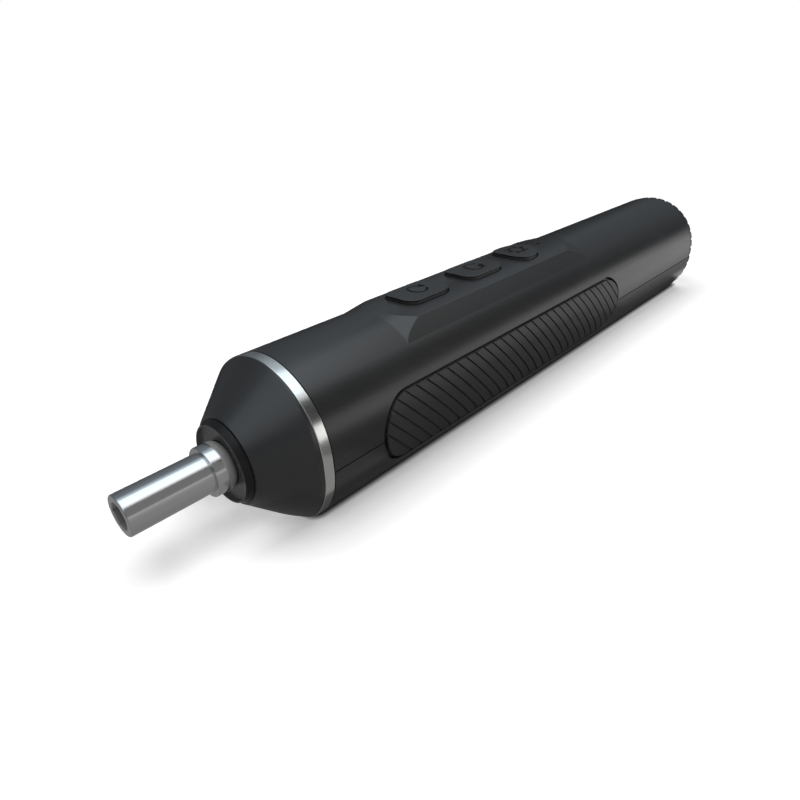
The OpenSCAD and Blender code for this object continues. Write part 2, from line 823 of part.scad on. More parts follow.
module motor_can() {
    color([0.68, 0.69, 0.7]) on_floor() difference() {
        union() {
            rod(can_x0, can_x1, motor_r);
            rod(box_x1 + 0.4, can_x0 + tuck, nose_boss_r);
        }
        rod(can_x0 + can_wall, can_x1 + past, can_in_r);
        rod(box_x1 - past, can_x0 + 2 * past, shaft_r + run_play);
        for (y = [-motor_screw_y, motor_screw_y]) translate([0, y, 0])
            rod(can_x0 - past, can_x0 + can_wall + past, gear_screw_r);
    }
}

module motor_magnets() {
    color([0.2, 0.2, 0.22]) on_floor() for (s = [-1, 1]) intersection() {
        difference() {
            rod(can_x0 + 5, can_x1 - 5, can_in_r);
            rod(can_x0 + 5 - past, can_x1, can_in_r - magnet_t);
        }
        block(can_x0, can_x1, s > 0 ? 4 : -can_in_r - past, s > 0 ? can_in_r + past : -4,
            -can_in_r, can_in_r);
    }
}

module motor_end_cap() {
    color([0.12, 0.12, 0.13]) on_floor() difference() {
        union() {
            rod(can_x1 - 1.5, can_x1 + tuck, can_in_r);
            rod(can_x1, endcap_x1, motor_r - 0.2);
        }
        rod(can_x1 - 2 * past, endcap_x1 + past, shaft_r + run_play);
    }
}

module motor_terminals() {
    color([0.8, 0.7, 0.45]) on_floor() for (y = [-7, 7])
        block(endcap_x1, endcap_x1 + terminal_len, y - 1.4, y + 1.4, -0.25, 0.25);
}

module motor_leads() {
    color([0.55, 0.1, 0.1]) on_floor() for (y = [-7, 7])
        post(endcap_x1 + 2, y, 0.25, board_z, wire_r);
}

// roof space for the flange of a key
module key_pocket(x0, len, w) {
    block(x0 - key_lip - pocket_side, x0 + len + key_lip + pocket_side,
        -w / 2 - key_lip - pocket_side, w / 2 + key_lip + pocket_side, board_top, key_roof);
}

module case_bosses_up() {
    for (x = screw_x, y = [-screw_y, screw_y])
        post(x, y, -split_drop, body_r, boss_r);
}

// ribs that hold the gearbox, the motor and the end of the motor
module ribs() {
    difference() {
        union() {
            for (x = [box_x0 + 6, box_x1 - 6, can_x0 + 6, can_x1 - 8])
                span(x, x + rib_t) body_section(shell_wall - 2 * tuck);
        }
        rod(0, can_x0 + 1, gearbox_r + 0.1);
        rod(0, can_x1 + past, motor_r + 0.1);
        lugs(0, can_x0 + 4, lug_r + 0.2);
        block(board_x0 - past, board_x1 + past, -board_half - past, board_half + past,
            board_z - 2, body_r);
    }
}

module upper_shell() {
    color([0.19, 0.19, 0.2]) on_floor() difference() {
        union() {
            intersection() {
                difference() {
                    union() {
                        span(shell_x0, body_len) body_section();
                        control_pad();
                    }
                    difference() {
                        span(shell_x0 - past, body_len + past) body_section(shell_wall);
                        intersection() {
                            span(shell_x0, body_len) body_section(tuck);
                            case_bosses_up();
                        }
                        for (x = post_x, y = [-post_y, post_y])
                            post(x, y, board_top, body_r, post_r);
                        ribs();
                    }
                }
                above_seam();
            }
        }
        for (x = screw_x, y = [-screw_y, screw_y])
            post(x, y, -split_drop - past, screw_grip - split_drop, screw_r);
        for (x = post_x, y = [-post_y, post_y])
            post(x, y, board_top - past, board_top + 2, board_screw_r);
        grip_pockets();
        translate([forward_x, 0, board_top]) linear_extrude(height = body_r) turn_outline();
        translate([reverse_x, 0, board_top]) linear_extrude(height = body_r) turn_outline();
        translate([mode_x, 0, board_top]) linear_extrude(height = body_r) mode_outline();
        key_pocket(forward_x, key_len, key_w);
        key_pocket(reverse_x, key_len, key_w);
        key_pocket(mode_x, mode_len, mode_w);
        post(lamp_x, 0, board_top, 2 * body_r, lamp_r + 0.1);
    }
}

module lower_shell() {
    color([0.19, 0.19, 0.2]) on_floor() difference() {
        intersection() {
            difference() {
                span(shell_x0, body_len) body_section();
                difference() {
                    span(shell_x0 - past, body_len + past) body_section(shell_wall);
                    intersection() {
                        span(shell_x0, body_len) body_section(tuck);
                        union() {
                            for (x = screw_x, y = [-screw_y, screw_y]) {
                                post(x, y, -foot_drop, -split_drop + past, boss_r);
                                block(x - pocket_side_r, x + pocket_side_r, y - pocket_side_r,
                                    y + pocket_side_r, -foot_drop, head_z0 + pocket_roof);
                            }
                            for (x = charge_post_x, y = [-charge_post_y, charge_post_y])
                                post(x, y, -foot_drop, -charge_drop, post_r);
                            for (x = [cell_x + 10, cell_x1 - 12])
                                block(x, x + rib_t, -cradle_y, cradle_y, -foot_drop, cradle_z0);
                        }
                    }
                    ribs();
                }
            }
            below_seam();
        }
        for (x = screw_x, y = [-screw_y, screw_y]) {
            post(x, y, -foot_drop, past, screw_r + 0.2);
            post(x, y, -foot_drop - past, head_z0, pocket_r);
        }
        for (x = charge_post_x, y = [-charge_post_y, charge_post_y])
            post(x, y, -charge_drop - 6, past, board_screw_r);
        grip_pockets();
        difference() {
            block(0, body_len + past, -2 * body_r, 2 * body_r,
                -split_drop - split_gap, -split_drop + past);
            span(-past, body_len + 2 * past) body_section(split_deep);
        }
    }
}

module case_screws() {
    color([0.3, 0.3, 0.32]) on_floor() for (x = screw_x, y = [-screw_y, screw_y]) difference() {
        union() {
            post(x, y, head_z0 - head_h, head_z0, head_r);
            post(x, y, head_z0 - tuck, screw_grip - split_drop, screw_r);
        }
        translate([x, y, head_z0 - head_h - past])
            cylinder(h = 1.2 + past, r = 1.3, $fn = 6);
    }
}

module grip(side) {
    difference() {
        intersection() {
            grip_block(side, grip_gap);
            span(grip_x0, grip_x1) body_section(-grip_proud);
        }
        span(0, body_len) body_section(grip_deep);
        difference() {
            for (i = [0 : groove_n]) translate([groove_x0 + i * groove_pitch, 0, grip_z])
                rotate([0, -groove_slant, 0])
                    block(-groove_w / 2, groove_w / 2, -2 * body_r, 2 * body_r, -body_r, body_r);
            span(0, body_len) body_section(groove_deep - grip_proud);
        }
    }
}

module left_grip() {
    color([0.15, 0.15, 0.16]) on_floor() grip(-1);
}

module right_grip() {
    color([0.15, 0.15, 0.16]) on_floor() grip(1);
}

// sloped rear edge of the end cap round the arc at height z
module cap_edge(z) {
    rise = cap_slope / cap_slope_len;
    small = body_r - cap_inset - cap_slope;
    run = cap_len + past;
    translate([0, 0, z]) taper(cap_x1 - run, cap_x1, small + run * rise, small);
}

module rear_cap() {
    color([0.16, 0.16, 0.17]) on_floor() difference() {
        union() {
            intersection() {
                span(cap_x0, cap_x1) body_section(cap_inset);
                union() {
                    cap_edge(arc_up);
                    cap_edge(-low_drop);
                }
            }
            difference() {
                span(body_len - spigot_len, cap_x0 + tuck) body_section(spigot_inset);
                span(body_len - spigot_len - past, cap_x0)
                    body_section(spigot_inset + cap_wall);
            }
        }
        difference() {
            for (i = [0 : notches - 1]) rotate([360 * (i + 0.5) / notches, 0, 0])
                block(cap_x0 - past, cap_x1 + past, -notch_w / 2, notch_w / 2, 12, 2 * body_r);
            span(cap_x0 - 2 * past, cap_x1 + 2 * past) body_section(cap_inset + notch_deep);
            block(cap_x0 - 2 * past, cap_x1 + 2 * past, -foot_half - 3, foot_half + 3,
                -2 * body_r, -12);
            span(cap_x0 - 2 * past, cap_x0 + 0.8) square(4 * body_r, center = true);
        }
        block(cap_x0 - past, cap_x1 + past, -port_w / 2 - port_play, port_w / 2 + port_play,
            port_z - port_h / 2 - port_play, port_z + port_h / 2 + port_play);
        span(cap_x1 - 0.8, cap_x1 + past) body_section(5);
    }
}

module control_board() {
    color([0.1, 0.3, 0.15]) on_floor() difference() {
        block(board_x0, board_x1, -board_half, board_half, board_z, board_top);
        for (x = post_x, y = [-post_y, post_y])
            post(x, y, board_z - past, board_top + past, board_screw_r + 0.2);
    }
}

module board_screws() {
    color([0.6, 0.6, 0.62]) on_floor() for (x = post_x, y = [-post_y, post_y]) {
        post(x, y, board_z - 1, board_z, 1.6);
        post(x, y, board_z - tuck, board_top + 2, board_screw_r);
    }
}

module board_parts() {
    color([0.08, 0.08, 0.09]) on_floor() {
        block(chip_x, chip_x + chip_len, -chip_half, chip_half, board_z - chip_t, board_z);
        block(driver_x, driver_x + driver_len, -driver_half, driver_half, board_z - chip_t, board_z);
        post(store_x, 0, board_z - store_h, board_z, store_r);
    }
}

module switch_at(x) {
    difference() {
        block(x - switch_half, x + switch_half, -switch_half, switch_half, board_top, switch_top);
        post(x, 0, board_top + 0.2, switch_top + past, plunger_r + run_play);
    }
}

module key_switches() {
    color([0.2, 0.2, 0.22]) on_floor() {
        switch_at(forward_c);
        switch_at(reverse_c);
        switch_at(mode_c);
    }
}

// key with a crowned top, a flange under the roof and a clear inside
module key_cap(x0, kind) {
    difference() {
        union() {
            intersection() {
                translate([x0, 0, key_under]) linear_extrude(height = body_r) key_shape(kind, key_play);
                translate([0, 0, top_z - crown_r]) rod(x0 - past, x0 + key_len + past, crown_r + key_rise);
            }
            translate([x0, 0, key_under]) linear_extrude(height = key_flange)
                key_shape(kind, -key_lip);
        }
        children();
    }
}

module key_shape(kind, inset) {
    if (kind == "turn") turn_outline(inset);
    if (kind == "mode") mode_outline(inset);
}

// arrow that turns round, as a cut from above
module turn_sign(x, way) {
    translate([x, 0, top_z + key_rise - sign_deep]) linear_extrude(height = 3)
        mirror([0, way > 0 ? 0 : 1]) {
            difference() {
                circle(sign_r);
                circle(sign_r - sign_line);
                polygon([[0, 0], [9, -4], [9, 4.5]]);
            }
            translate([0.84 * sign_r, 0.4 * sign_r]) rotate(62)
                polygon([[-1.2, -1.6], [1.9, 0], [-1.2, 1.6]]);
        }
}

// a small cog wheel, as a cut from above
module cog_sign(x) {
    translate([x, 0, top_z + key_rise - sign_deep]) linear_extrude(height = 3) difference() {
        union() {
            circle(sign_r - 0.4);
            for (a = [0 : 45 : 315]) rotate(a) translate([-0.6, 0]) square([1.2, sign_r + 1]);
        }
        circle(sign_r - 0.4 - sign_line);
    }
}

module forward_button() {
    color([0.22, 0.22, 0.23]) on_floor() key_cap(forward_x, "turn") turn_sign(forward_c, 1);
}

module reverse_button() {
    color([0.22, 0.22, 0.23]) on_floor() key_cap(reverse_x, "turn") turn_sign(reverse_c, -1);
}

module mode_button() {
    color([0.22, 0.22, 0.23]) on_floor() key_cap(mode_x, "mode") cog_sign(mode_c);
}

module forward_plunger() {
    color([0.7, 0.2, 0.15]) on_floor() post(forward_c, 0, switch_top - plunger_in, key_under, plunger_r);
}

module reverse_plunger() {
    color([0.7, 0.2, 0.15]) on_floor() post(reverse_c, 0, switch_top - plunger_in, key_under, plunger_r);
}

module mode_plunger() {
    color([0.7, 0.2, 0.15]) on_floor() post(mode_c, 0, switch_top - plunger_in, key_under, plunger_r);
}

module indicator_led() {
    color([0.9, 0.9, 0.8]) on_floor() block(lamp_x - 1, lamp_x + 1, -0.7, 0.7, board_top, board_top + 0.8);
}

module indicator_lens() {
    color([0.35, 0.38, 0.38]) on_floor() {
        post(lamp_x, 0, board_top + 0.8, top_z - 0.15, lamp_r);
        post(lamp_x, 0, board_top + 0.8, board_top + 1.8, lamp_r + 0.8);
    }
}

module cell(y) {
    translate([0, y, cell_z]) {
        rod(cell_x + 0.8, cell_x1, cell_r);
        rod(cell_x, cell_x + 0.8 + tuck, cell_r - 1.2);
    }
}

module battery_left() {
    color([0.15, 0.35, 0.6]) on_floor() cell(-cell_y);
}

module battery_right() {
    color([0.15, 0.35, 0.6]) on_floor() cell(cell_y);
}

module battery_cradle() {
    color([0.1, 0.1, 0.11]) on_floor() {
        block(cell_x - strip_t - cradle_t, cell_x1 + strip_t + cradle_t, -cradle_y, cradle_y,
            cradle_z0, cradle_z0 + cradle_t);
        block(cell_x - strip_t - cradle_t, cell_x - strip_t, -cradle_y, cradle_y,
            cradle_z0, cradle_z1);
        block(cell_x1 + strip_t, cell_x1 + strip_t + cradle_t, -cradle_y, cradle_y,
            cradle_z0, cradle_z1);
    }
}

module cell_tabs() {
    color([0.8, 0.8, 0.78]) on_floor() for (s = [-1, 1])
        block(cell_x - strip_t, cell_x, s > 0 ? cell_y - 5 : -cell_y - 0.1,
            s > 0 ? cell_y + 0.1 : 5 - cell_y, cell_z - 3, board_z);
}

module cell_strap() {
    color([0.8, 0.8, 0.78]) on_floor()
        block(cell_x1, cell_x1 + strip_t, -cell_y - strap_over, cell_y + strap_over,
            cell_z - strap_half, cell_z + strap_half);
}

module charge_board() {
    color([0.1, 0.3, 0.15]) on_floor() difference() {
        block(charge_x, charge_x1, -charge_half, charge_half, -charge_drop, charge_top);
        for (x = charge_post_x, y = [-charge_post_y, charge_post_y])
            post(x, y, -charge_drop - past, charge_top + past, board_screw_r + 0.2);
    }
}

module charge_socket() {
    color([0.7, 0.7, 0.72]) on_floor() {
        difference() {
            translate([0, 0, port_z]) span(port_x0, port_x1) port_outline(0);
            translate([0, 0, port_z]) span(port_x0 + 1.1, port_x1 + past) port_outline(0.3);
        }
        block(port_x0 + 1, port_x1 - 1, -3.3, 3.3, port_z - 0.35, port_z + 0.35);
    }
}

module port_outline(inset) {
    r = port_h / 2 - inset;
    y = port_w / 2 - port_h / 2;
    square([2 * y, 2 * r], center = true);
    for (s = [-y, y]) translate([s, 0]) circle(r);
}

module charge_screws() {
    color([0.6, 0.6, 0.62]) on_floor() for (x = charge_post_x, y = [-charge_post_y, charge_post_y]) {
        post(x, y, charge_top, charge_top + 1, small_head_r);
        post(x, y, -charge_drop - charge_thread, charge_top + tuck, board_screw_r);
    }
}

module charge_leads() {
    x0 = board_x1 - 2;
    x1 = charge_x + 2;
    color([0.75, 0.65, 0.1]) on_floor() for (y = [-wire_y, wire_y]) {
        post(x1, y, charge_top, lead_z, wire_r);
        post(x0, y, lead_z, board_z, wire_r);
        translate([0, y, lead_z]) rod(x0, x1, wire_r);
        translate([x0, y, lead_z]) sphere(wire_r);
        translate([x1, y, lead_z]) sphere(wire_r);
    }
}

output_spindle();
socket_magnet();
bit_ring();
spindle_clip();
output_carrier();
output_pins();
planet_out_a();
planet_out_b();
planet_out_c();
inner_carrier();
inner_pins();
planet_in_a();
planet_in_b();
planet_in_c();
motor_pinion();
motor_rotor();
nose_cone();
nose_bezel();
front_bushing();
trim_ring();
ring_gear();
motor_plate();
gearbox_screws();
motor_screws();
motor_can();
motor_magnets();
motor_end_cap();
motor_terminals();
motor_leads();
upper_shell();
lower_shell();
case_screws();
left_grip();
right_grip();
rear_cap();
control_board();
board_screws();
board_parts();
key_switches();
forward_button();
reverse_button();
mode_button();
forward_plunger();
reverse_plunger();
mode_plunger();
indicator_led();
indicator_lens();
battery_left();
battery_right();
battery_cradle();
cell_tabs();
cell_strap();
charge_board();
charge_socket();
charge_screws();
charge_leads();
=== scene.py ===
import math

import bpy
from mathutils import Euler, Matrix, Vector


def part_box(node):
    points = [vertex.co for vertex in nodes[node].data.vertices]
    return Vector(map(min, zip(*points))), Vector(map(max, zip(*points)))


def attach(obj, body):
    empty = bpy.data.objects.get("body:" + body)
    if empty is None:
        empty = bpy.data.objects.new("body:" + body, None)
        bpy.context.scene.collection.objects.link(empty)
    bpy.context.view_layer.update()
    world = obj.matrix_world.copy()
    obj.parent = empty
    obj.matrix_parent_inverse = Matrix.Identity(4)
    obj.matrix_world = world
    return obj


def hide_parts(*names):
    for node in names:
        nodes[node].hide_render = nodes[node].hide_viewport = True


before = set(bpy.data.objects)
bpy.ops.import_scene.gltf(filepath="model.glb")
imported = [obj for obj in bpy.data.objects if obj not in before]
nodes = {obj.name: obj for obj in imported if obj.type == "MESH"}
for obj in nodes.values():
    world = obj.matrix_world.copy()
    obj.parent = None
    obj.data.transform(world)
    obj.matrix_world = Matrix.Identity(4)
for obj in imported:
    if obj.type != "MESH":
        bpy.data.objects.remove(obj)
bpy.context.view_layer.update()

scene = bpy.context.scene
scene.view_settings.view_transform = "Standard"

# Sizes are in millimetres from the point where the tool axis meets the trim ring's front,
# with x towards the end cap. place() turns them into metres in the frame.
MM = 0.001


def low(node):
    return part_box(node)[0]


def high(node):
    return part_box(node)[1]


AXIS_Z = (low("output_spindle").z + high("output_spindle").z) / 2
FLOOR_Z = low("lower_shell").z
RING_X = low("trim_ring").x

# nose
RIM = (low("nose_bezel").x - RING_X) / MM
NOSE_LEN = 13.3

# bit socket
TIP = (low("output_spindle").x - RING_X) / MM
SPINDLE_END = (high("output_spindle").x - RING_X) / MM
TUBE_R = 5.5
COLLAR_R = (high("output_spindle").z - AXIS_Z) / MM
COLLAR_LEN, COLLAR_OUT, COLLAR_ROUND = 6.7, 4.8, 3.0
COLLAR_X = RIM - COLLAR_OUT
SHOULDER_X = COLLAR_X + COLLAR_LEN - COLLAR_ROUND
JOURNAL_R, JOURNAL_END = 5.0, 8.5
CLIP_X, CLIP_WIDE, CLIP_DEEP = -2.25, 1, 0.5
SQUARE, SQUARE_X = 6.8, 7.5
HEX_DEEP = 14.0
HEX_R = 3.2 / math.cos(math.pi / 6)
# bores in the socket: start and end behind its mouth, and radius
SPRING_GROOVE = (3.4, 4.6, 4.2)
MAGNET_BORE = (13, 18, 2.9)

# control area: the crown is the low arch that the keys stand on
CROWN_TOP, CROWN_R, KEY_RISE = 24.32, 38.4, 1.2


def place(x, y, z):
    return Vector((RING_X + x * MM, y * MM, AXIS_Z + z * MM))


# camera, fitted to the outlines of the tool in a photo 800 pixels wide
PHOTO_W = 800
FOCAL_PX = 598.9985
CAM_PLACE = place(-73.988, -122.473, 86.239)
CAM_YAW, CAM_PITCH, CAM_ROLL = 0.7724, -0.5026, -0.0509
SENSOR_WIDTH = 36
CLIP_NEAR, CLIP_FAR = 0.005, 30


def add_camera():
    data = bpy.data.cameras.new("photo_camera")
    data.sensor_width = SENSOR_WIDTH
    data.lens = FOCAL_PX / PHOTO_W * SENSOR_WIDTH
    data.clip_start, data.clip_end = CLIP_NEAR, CLIP_FAR
    cam = bpy.data.objects.new("photo_camera", data)
    scene.collection.objects.link(cam)
    turn = Euler((math.pi / 2 + CAM_PITCH, 0, CAM_YAW - math.pi / 2)).to_matrix()
    turn = turn @ Matrix.Rotation(CAM_ROLL, 3, "Z")
    cam.matrix_world = Matrix.Translation(CAM_PLACE) @ turn.to_4x4()
    scene.camera = cam


add_camera()


# node helpers
def wire(tree, src, out, dst, inp):
    tree.links.new(src.outputs[out], dst.inputs[inp])


def math_node(tree, kind, a, b):
    """A Math node; a and b are numbers or (node, output) pairs."""
    m = tree.nodes.new("ShaderNodeMath")
    m.operation = kind
    for i, v in enumerate((a, b)):
        if isinstance(v, tuple):
            wire(tree, v[0], v[1], m, i)
        else:
            m.inputs[i].default_value = v
    return m


def vector_math(tree, kind, src, out, other=(0, 0, 0)):
    """A Vector Math node on one output and a fixed vector."""
    m = tree.nodes.new("ShaderNodeVectorMath")
    m.operation = kind
    wire(tree, src, out, m, 0)
    m.inputs[1].default_value = other
    return m


def ramp(tree, src, out, lo, hi):
    """Maps 0..1 to lo..hi."""
    m = tree.nodes.new("ShaderNodeMapRange")
    m.inputs["To Min"].default_value, m.inputs["To Max"].default_value = lo, hi
    wire(tree, src, out, m, "Value")
    return m


def rise(tree, src, out, span, lo, hi):
    """Goes smoothly from lo to hi while the source crosses the span."""
    m = ramp(tree, src, out, lo, hi)
    m.interpolation_type = "SMOOTHSTEP"
    m.inputs["From Min"].default_value, m.inputs["From Max"].default_value = span
    return m


def stops(tree, src, out, reach, points):
    """Looks up a value along a distance, from stops given in millimetres."""
    share = math_node(tree, "DIVIDE", (src, out), reach)
    band = tree.nodes.new("ShaderNodeValToRGB")
    wire(tree, share, 0, band, "Fac")
    keys = band.color_ramp.elements
    while len(keys) > 1:
        keys.remove(keys[-1])
    for k, (mm, value) in enumerate(points):
        key = keys[0] if k == 0 else keys.new(mm * MM / reach)
        key.position = mm * MM / reach
        key.color = (value, value, value, 1)
    return band


def seen_ray(tree):
    """1 for camera, glossy and transmission rays, 0 for light that falls on things."""
    path = tree.nodes.new("ShaderNodeLightPath")
    m = math_node(tree, "MAXIMUM", (path, "Is Camera Ray"), (path, "Is Glossy Ray"))
    return math_node(tree, "MAXIMUM", (m, 0), (path, "Is Transmission Ray"))


def mix_shaders(tree, share, first, second, out):
    """Mixes two shaders by a share and ends the tree with them."""
    mix = tree.nodes.new("ShaderNodeMixShader")
    wire(tree, share, 0, mix, 0)
    wire(tree, first, 0, mix, 1)
    wire(tree, second, 0, mix, 2)
    wire(tree, mix, 0, out, 0)


def bare_material(name):
    """A material whose node tree holds only its output."""
    mat = bpy.data.materials.new(name)
    mat.use_nodes = True
    mat.node_tree.nodes.clear()
    return mat, mat.node_tree, mat.node_tree.nodes.new("ShaderNodeOutputMaterial")


def new_plane(name, size, spot=(0, 0, 0)):
    bpy.ops.object.select_all(action="DESELECT")
    bpy.ops.mesh.primitive_plane_add(size=size, location=spot)
    obj = bpy.context.object
    obj.name = name
    return obj


# studio
SEEN_LIGHT, FILL_LIGHT = 1.0, 0.5


def set_world():
    """A world that is seen white and lights things more weakly."""
    world = bpy.data.worlds.new("studio")
    scene.world = world
    world.use_nodes = True
    tree = world.node_tree
    tree.nodes.clear()
    out = tree.nodes.new("ShaderNodeOutputWorld")
    lights = []
    for strength in (FILL_LIGHT, SEEN_LIGHT):
        light = tree.nodes.new("ShaderNodeBackground")
        light.inputs["Color"].default_value = (1, 1, 1, 1)
        light.inputs["Strength"].default_value = strength
        lights.append(light)
    mix_shaders(tree, seen_ray(tree), *lights, out)


FLOOR_SIZE = 24.0
NEAR_EDGE, FAR_EDGE = 0.28, 0.6
FOOT_FRONT = 3
FOOT_HALF_WIDTH = 0.013
# stops of the floor round the foot: (millimetres from the foot, value). The first table is the
# floor's colour, painted dark along the foot and a little darker again 12 to 24 mm out: painted
# shadow. The second is a glow that only camera and mirror rays see: painted light that lifts the
# shadow just beyond the foot and brings the floor up to white further out.
FOOT_REACH = 0.04
FLOOR_PAINTED_SHADE = ((0, 0.12), (2.5, 0.12), (4.8, 0.8), (8, 0.78), (12, 0.7), (18, 0.69),
               (24, 0.74), (32, 0.8))
FLOOR_PAINTED_LIGHT = ((0, 0), (3, 0), (5, 0.17), (7, 0.08), (10, 0.04), (16, 0.05), (30, 0.08))
# stops of a glow on the floor below the nose, painted light that lifts the shadow of the nose and
# socket: behind the socket's mouth, and aside from the axis
NOSE_REACH, NOSE_SIDE = 0.06, 0.02
NOSE_PAINTED_LIGHT = ((0, 0), (10, 0.06), (22, 0.2), (31, 0.4), (38, 0.4), (44, 0))
NOSE_ASIDE = ((0, 1), (7, 1), (12, 0.5), (16, 0))


def foot_distance(tree, position):
    """Distance on the floor from the flat foot that the tool stands on."""
    x0, x1 = place(FOOT_FRONT, 0, 0).x, high("rear_cap").x
    middle = ((x0 + x1) / 2, 0, FLOOR_Z)
    half = ((x1 - x0) / 2, FOOT_HALF_WIDTH, 0)
    centre = vector_math(tree, "SUBTRACT", position, "Position", middle)
    mirror = vector_math(tree, "ABSOLUTE", centre, 0)
    beyond = vector_math(tree, "SUBTRACT", mirror, 0, half)
    outside = vector_math(tree, "MAXIMUM", beyond, 0)
    return vector_math(tree, "LENGTH", outside, 0)


def nose_painted_light(tree, position):
    """Painted light on the floor below the nose, which stands clear of it: a glow level that
    lightens the shadow there.
    """
    at = tree.nodes.new("ShaderNodeSeparateXYZ")
    wire(tree, position, "Position", at, 0)
    back = math_node(tree, "SUBTRACT", (at, "X"), low("output_spindle").x)
    along = stops(tree, back, 0, NOSE_REACH, NOSE_PAINTED_LIGHT)
    side = math_node(tree, "ABSOLUTE", (at, "Y"), 0)
    aside = stops(tree, side, 0, NOSE_SIDE, NOSE_ASIDE)
    return math_node(tree, "MULTIPLY", (along, "Color"), (aside, "Color"))


def add_floor():
    """White floor that keeps the shadow close to the tool and turns plain white further out. Near
    the tool the shadow is partly cast and partly painted: painted shade along the foot, and
    painted light that lifts it beyond the foot and under the nose.
    """
    floor = new_plane("studio_floor", FLOOR_SIZE, (0, 0, FLOOR_Z))
    mat, tree, out = bare_material("floor_white")
    co = tree.nodes.new("ShaderNodeNewGeometry")
    seen = seen_ray(tree)
    near = foot_distance(tree, co)
    # The paint is darkened along the foot as painted shade, and the glow lifts the shadow beyond
    # the foot and under the nose as painted light, for camera and mirror rays only.
    paint = tree.nodes.new("ShaderNodeBsdfDiffuse")
    shade = stops(tree, near, "Value", FOOT_REACH, FLOOR_PAINTED_SHADE)
    wire(tree, shade, "Color", paint, "Color")
    glow = tree.nodes.new("ShaderNodeEmission")
    level = stops(tree, near, "Value", FOOT_REACH, FLOOR_PAINTED_LIGHT)
    level = math_node(tree, "ADD", (level, "Color"), (nose_painted_light(tree, co), 0))
    level = math_node(tree, "MULTIPLY", (seen, 0), (level, 0))
    wire(tree, level, 0, glow, "Strength")
    lit = tree.nodes.new("ShaderNodeAddShader")
    wire(tree, paint, 0, lit, 0)
    wire(tree, glow, 0, lit, 1)
    white = tree.nodes.new("ShaderNodeEmission")
    far = vector_math(tree, "LENGTH", co, "Position")
    fade = rise(tree, far, "Value", (NEAR_EDGE, FAR_EDGE), 0, 1)
    plain = math_node(tree, "MULTIPLY", (fade, 0), (seen, 0))
    mix_shaders(tree, plain, lit, white, out)
    floor.data.materials.append(mat)


def softbox(name, spot, aim, size, power):
    data = bpy.data.lights.new(name, "AREA")
    data.shape = "RECTANGLE"
    data.size, data.size_y = size
    data.energy = power
    lamp = bpy.data.objects.new(name, data)
    scene.collection.objects.link(lamp)
    lamp.location = spot
    lamp.rotation_mode = "QUATERNION"
    lamp.rotation_quaternion = (Vector(aim) - Vector(spot)).to_track_quat("-Z", "Y")
    lamp.visible_camera = False
    lamp.visible_glossy = False


def card(name, corners, levels, tint=(1, 1, 1)):
    """A studio card that only mirror-like surfaces see. Its brightness runs from the first
    level along its lower edge to the second one along its upper edge."""
    obj = new_plane(name, 1)
    order = ((-1, -1), (1, -1), (1, 1), (-1, 1))
    for v in obj.data.vertices:
        i = order.index((round(math.copysign(1, v.co.x)), round(math.copysign(1, v.co.y))))
        v.co = place(*corners[i])
    mat, tree, out = bare_material(name + "_cloth")
    glow = tree.nodes.new("ShaderNodeEmission")
    glow.inputs["Color"].default_value = (*tint, 1)
    uv = tree.nodes.new("ShaderNodeUVMap")
    part = tree.nodes.new("ShaderNodeSeparateXYZ")
    wire(tree, uv, "UV", part, 0)
    wire(tree, ramp(tree, part, "Y", *levels), "Result", glow, "Strength")
    wire(tree, glow, 0, out, 0)
    obj.data.materials.append(mat)
    obj.visible_camera = False
    obj.visible_diffuse = False
    obj.visible_transmission = False
    obj.visible_volume_scatter = False
    obj.visible_shadow = False


def wall(name, a, b, z0, z1, levels, tint=(1, 1, 1)):
    """An upright card over the floor line from a to b."""
    card(name, ((*a, z0), (*b, z0), (*b, z1), (*a, z1)), levels, tint)


def sheet(name, x0, x1, y0, y1, z, levels, tint=(1, 1, 1)):
    """A level card."""
    card(name, ((x0, y0, z), (x1, y0, z), (x1, y1, z), (x0, y1, z)), levels, tint)


KEY_SPOT, KEY_SIZE, KEY_POWER = (-0.05, -0.1, 1.2), (1.3, 1.3), 19
set_world()
add_floor()
softbox("key_top", KEY_SPOT, (0, 0, AXIS_Z), KEY_SIZE, KEY_POWER)

# The cards stand round the tool like the walls and the ceiling of a room. The last number
# pair of each is its brightness, at the lower edge and at the upper edge of a wall, or at
# the near edge and at the far edge of a level card.
FLOOR_DEPTH = -19.2
LEFT, RIGHT, NEAR, FAR, CEILING = -900, 1400, -500, 520, 900
LOW_TOP, STRIP_TOP, NEAR_TOP = 110, 165, 760
COOL = (0.87, 1.0, 1.1)
wall("near_left_low", (LEFT, NEAR), (250, NEAR), FLOOR_DEPTH, LOW_TOP, (0.34, 0.6))
wall("near_left", (LEFT, NEAR), (250, NEAR), LOW_TOP, NEAR_TOP, (0.24, 0.22))
wall("near_right", (250, NEAR), (RIGHT, NEAR), STRIP_TOP, NEAR_TOP, (0.03, 0.08))
wall("low_strip", (230, NEAR + 5), (RIGHT, NEAR + 5), FLOOR_DEPTH, STRIP_TOP, (1.4, 1.4))
wall("far_left", (LEFT, FAR), (300, FAR), FLOOR_DEPTH, CEILING, (0.12, 0.3), COOL)
wall("far_right", (300, FAR), (750, FAR), FLOOR_DEPTH, CEILING, (0.03, 0.6), COOL)
wall("far_end", (750, FAR), (RIGHT, FAR), FLOOR_DEPTH, CEILING, (0.0, 0.2), COOL)
wall("right_end", (RIGHT, NEAR), (RIGHT, FAR), FLOOR_DEPTH, 1500, (0.02, 0.5), COOL)
wall("left_end", (-700, NEAR), (-700, FAR), FLOOR_DEPTH, 320, (0.04, 0.2), COOL)
sheet("overhead", -250, 620, -420, 250, CEILING, (2.0, 1.6), COOL)
sheet("overhead_far", -250, RIGHT, 250, FAR, CEILING, (0.8, 0.5), COOL)
sheet("sky_left", -1500, -260, -700, 900, CEILING, (1.3, 1.0), COOL)

